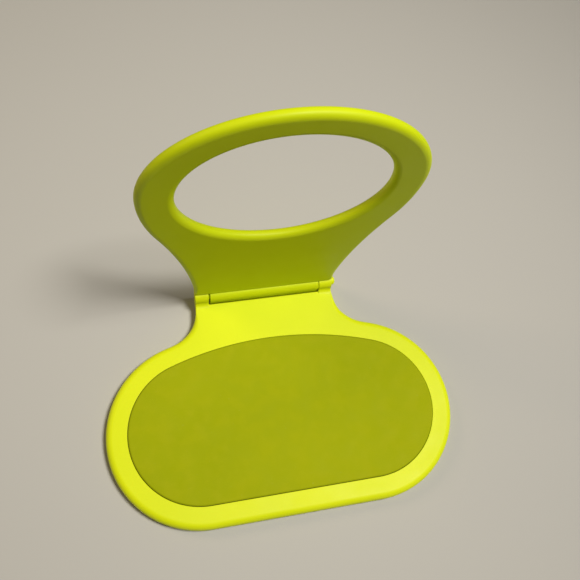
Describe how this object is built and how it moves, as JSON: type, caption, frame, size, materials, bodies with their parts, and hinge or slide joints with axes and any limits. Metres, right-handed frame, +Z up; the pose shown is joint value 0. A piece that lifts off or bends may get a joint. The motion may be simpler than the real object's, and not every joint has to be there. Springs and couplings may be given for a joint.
{
  "type": "folding phone charging shelf",
  "caption": "Folding phone shelf: a padded rounded support plate hinged to a flat hanger ring that slips over a wall charger and folds down over the pad.",
  "frame": {"origin": "on the flat underside of the support plate, midway between the centres of the pad's two round ends", "axes": "+X along the hinge and the plate's long way, +Y from the pad towards the hinge, +Z up out of the pad and up the standing ring"},
  "size_m": [0.091, 0.0618, 0.0841],
  "materials": {
    "plate_plastic": "satin moulded polypropylene or ABS, lime green",
    "ring_plastic": "satin moulded polypropylene or ABS, lime green",
    "pin_plastic": "satin moulded plastic, lime green",
    "pad_silicone": "matt soft silicone, olive green",
    "adhesive_film": "clear double-sided film"
  },
  "bodies": {
    "support": {"support_plate": "plate_plastic", "pad_adhesive": "adhesive_film", "grip_pad": "pad_silicone", "hinge_pin": "pin_plastic"},
    "hanger": {"hanger_ring": "ring_plastic"}
  },
  "joints": [
    {"name": "ring_hinge", "type": "hinge", "parent": "support", "child": "hanger", "pos_m": [0, 0.0358, 0.0056], "axis": [1, 0, 0], "range_deg": [-6, 90]}
  ]
}
